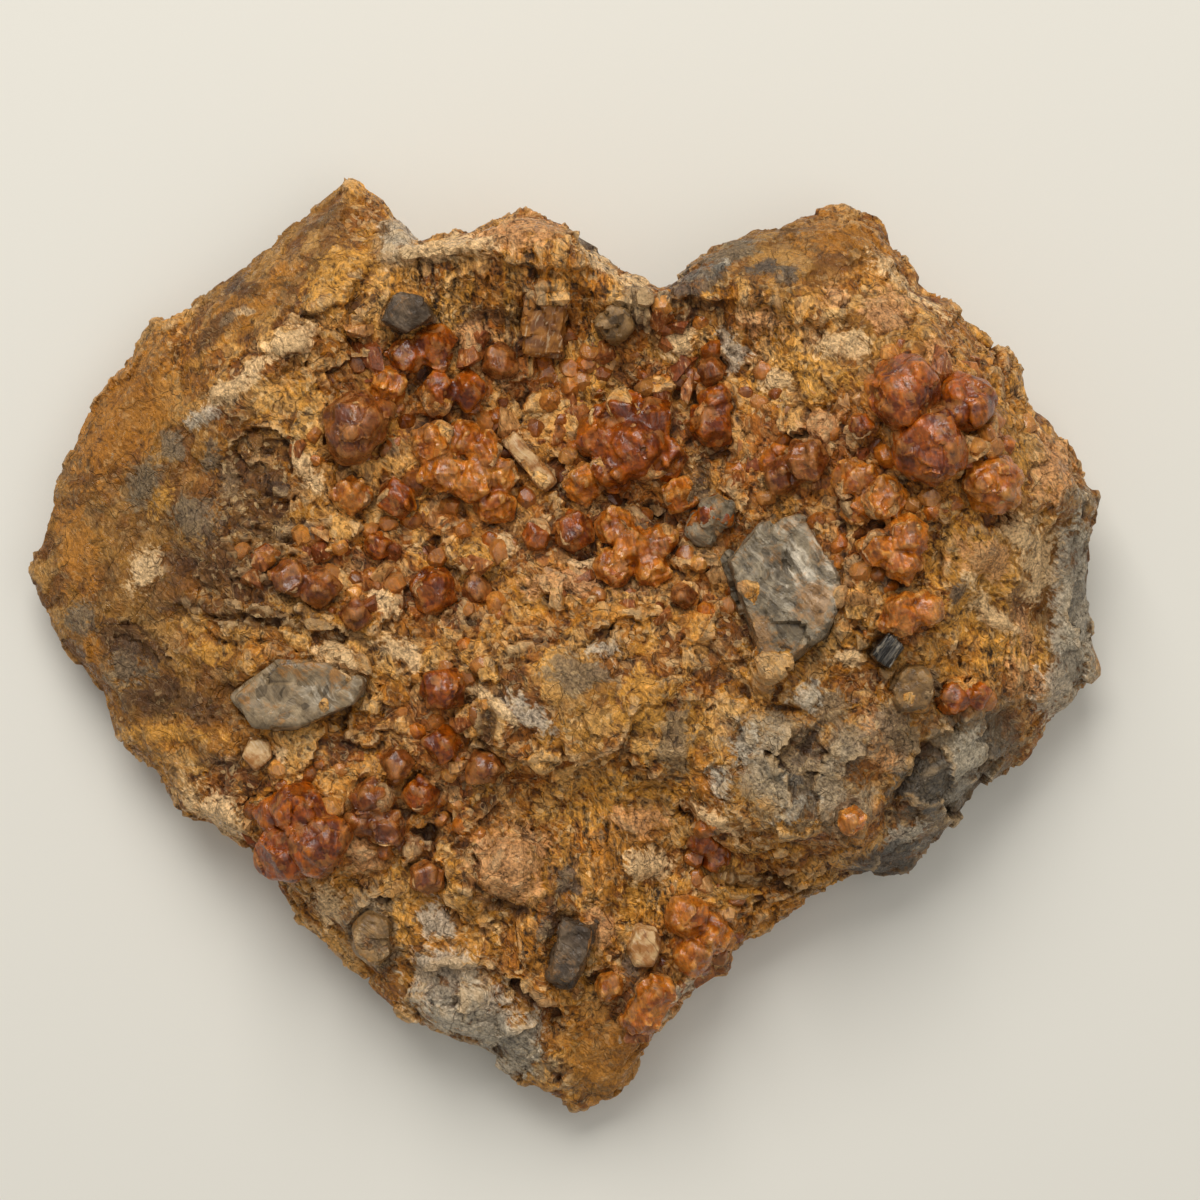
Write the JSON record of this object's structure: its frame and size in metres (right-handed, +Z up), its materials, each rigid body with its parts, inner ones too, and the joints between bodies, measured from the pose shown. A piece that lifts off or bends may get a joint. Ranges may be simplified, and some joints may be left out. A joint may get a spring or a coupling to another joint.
{
  "type": "garnet in matrix",
  "caption": "Palm-sized slab of rust-stained rock with orange-red garnets, smoky quartz, feldspar and mica seated in its rough upper face.",
  "frame": {"origin": "on the floor, under the middle of the specimen", "axes": "+X across the specimen's width, +Y towards its two upper lobes, +Z up, out of the crystal face"},
  "size_m": [0.12, 0.104, 0.0331],
  "materials": {
    "stone": "rough broken rock, ochre and brown with grey and cream grains",
    "garnet": "glassy orange-red to brown crystal, slightly see-through",
    "smoky_quartz": "glassy grey-brown crystal, cloudy",
    "feldspar": "satin cream cleavage faces",
    "mica": "black striated plates with a soft shine"
  },
  "bodies": {
    "root": {"matrix": "stone", "garnet_upper_left_pair": "garnet", "garnet_upper_left_orange": "garnet", "garnet_upper_left_round": "garnet", "garnet_upper_left_dark": "garnet", "garnet_west_pink": "garnet", "garnet_west_mass": "garnet", "garnet_west_dark_red": "garnet", "garnet_west_small": "garnet", "garnet_west_bead": "garnet", "garnet_far_west_pair": "garnet", "garnet_far_west_single": "garnet", "garnet_centre_round": "garnet", "garnet_centre_clear": "garnet", "garnet_centre_cluster": "garnet", "garnet_centre_foot": "garnet", "garnet_centre_orange": "garnet", "garnet_centre_square": "garnet", "garnet_centre_druse": "garnet", "garnet_centre_edge": "garnet", "garnet_ledge_dark": "garnet", "garnet_north_glint": "garnet", "garnet_north_dark": "garnet", "garnet_quartz_side": "garnet", "garnet_north_east_pink": "garnet", "garnet_east_crown": "garnet", "garnet_east_red": "garnet", "garnet_east_orange": "garnet", "garnet_east_bead": "garnet", "garnet_grapes_upper": "garnet", "garnet_grapes_lower": "garnet", "garnet_orange_ball": "garnet", "garnet_south_east_pair": "garnet", "garnet_plateau_spot": "garnet", "garnet_south_west_round": "garnet", "garnet_south_west_bright": "garnet", "garnet_south_west_glint": "garnet", "garnet_big_south_west": "garnet", "garnet_dark_trio": "garnet", "garnet_purple_crystal": "garnet", "garnet_pit_side": "garnet", "garnet_low_dark": "garnet", "garnet_under_ledge": "garnet", "garnet_south_cluster": "garnet", "garnet_south_glassy": "garnet", "garnet_south_small": "garnet", "smoky_quartz_block": "smoky_quartz", "smoky_quartz_north": "smoky_quartz", "grey_quartz_shard": "smoky_quartz", "round_quartz": "smoky_quartz", "rim_quartz": "smoky_quartz", "dark_quartz_blade": "smoky_quartz", "grey_quartz_lump": "smoky_quartz", "mica_book": "mica", "feldspar_block": "feldspar", "feldspar_lath": "feldspar", "feldspar_grain": "feldspar", "feldspar_chip": "feldspar"}
  },
  "joints": []
}
